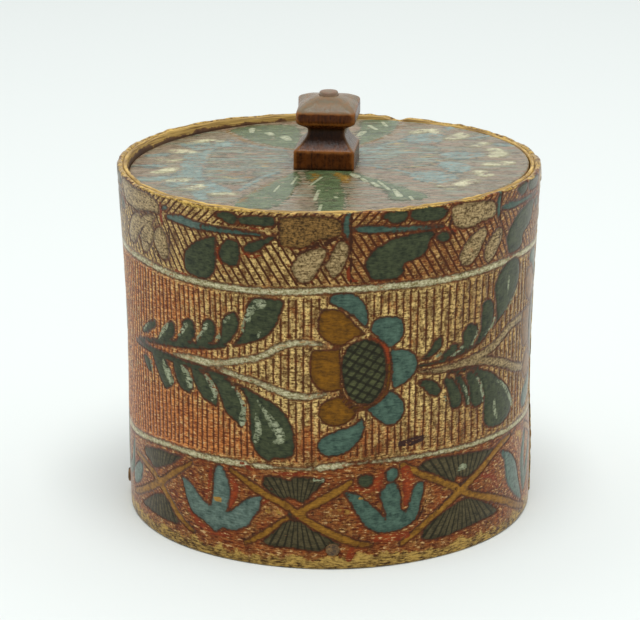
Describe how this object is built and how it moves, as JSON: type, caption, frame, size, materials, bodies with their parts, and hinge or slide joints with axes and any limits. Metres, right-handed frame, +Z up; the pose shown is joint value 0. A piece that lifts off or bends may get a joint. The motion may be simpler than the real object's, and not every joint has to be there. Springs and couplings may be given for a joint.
{
  "type": "birch bark container",
  "caption": "Round birch bark container with an incised and painted jacket, a pegged wooden bottom and a plug lid lifted by a carved square knob.",
  "frame": {"origin": "centre of the circle of the standing edge, on the surface the container stands on", "axes": "+Z up along the container's axis, -Y towards the front, +X to the right; the knob's faces lie along X and Y"},
  "size_m": [0.1772, 0.1764, 0.178],
  "materials": {
    "painted_bark": "incised birch bark with worn paint, satin varnish",
    "bare_bark": "bare birch bark, yellow brown, matt",
    "bare_board": "bare softwood, matt",
    "painted_board": "softwood board, painted and varnished, worn",
    "stained_knob": "carved hardwood, dark varnish, edges worn",
    "dowel_wood": "whittled wood, worn end",
    "peg_wood": "whittled wood, darkened"
  },
  "bodies": {
    "container": {"inner_sleeve": "bare_bark", "outer_jacket": "painted_bark", "seam_peg": "peg_wood", "bottom_board": "bare_board", "bottom_peg_1": "peg_wood", "bottom_peg_2": "peg_wood", "bottom_peg_3": "peg_wood", "bottom_peg_4": "peg_wood", "bottom_peg_5": "peg_wood"},
    "lid": {"lid_board": "painted_board", "knob": "stained_knob", "knob_dowel": "dowel_wood", "dowel_cotter": "dowel_wood"}
  },
  "joints": [
    {"name": "lid_lift", "type": "slide", "parent": "container", "child": "lid", "axis": [0, 0, 1], "range_m": [0, 0.1]}
  ]
}
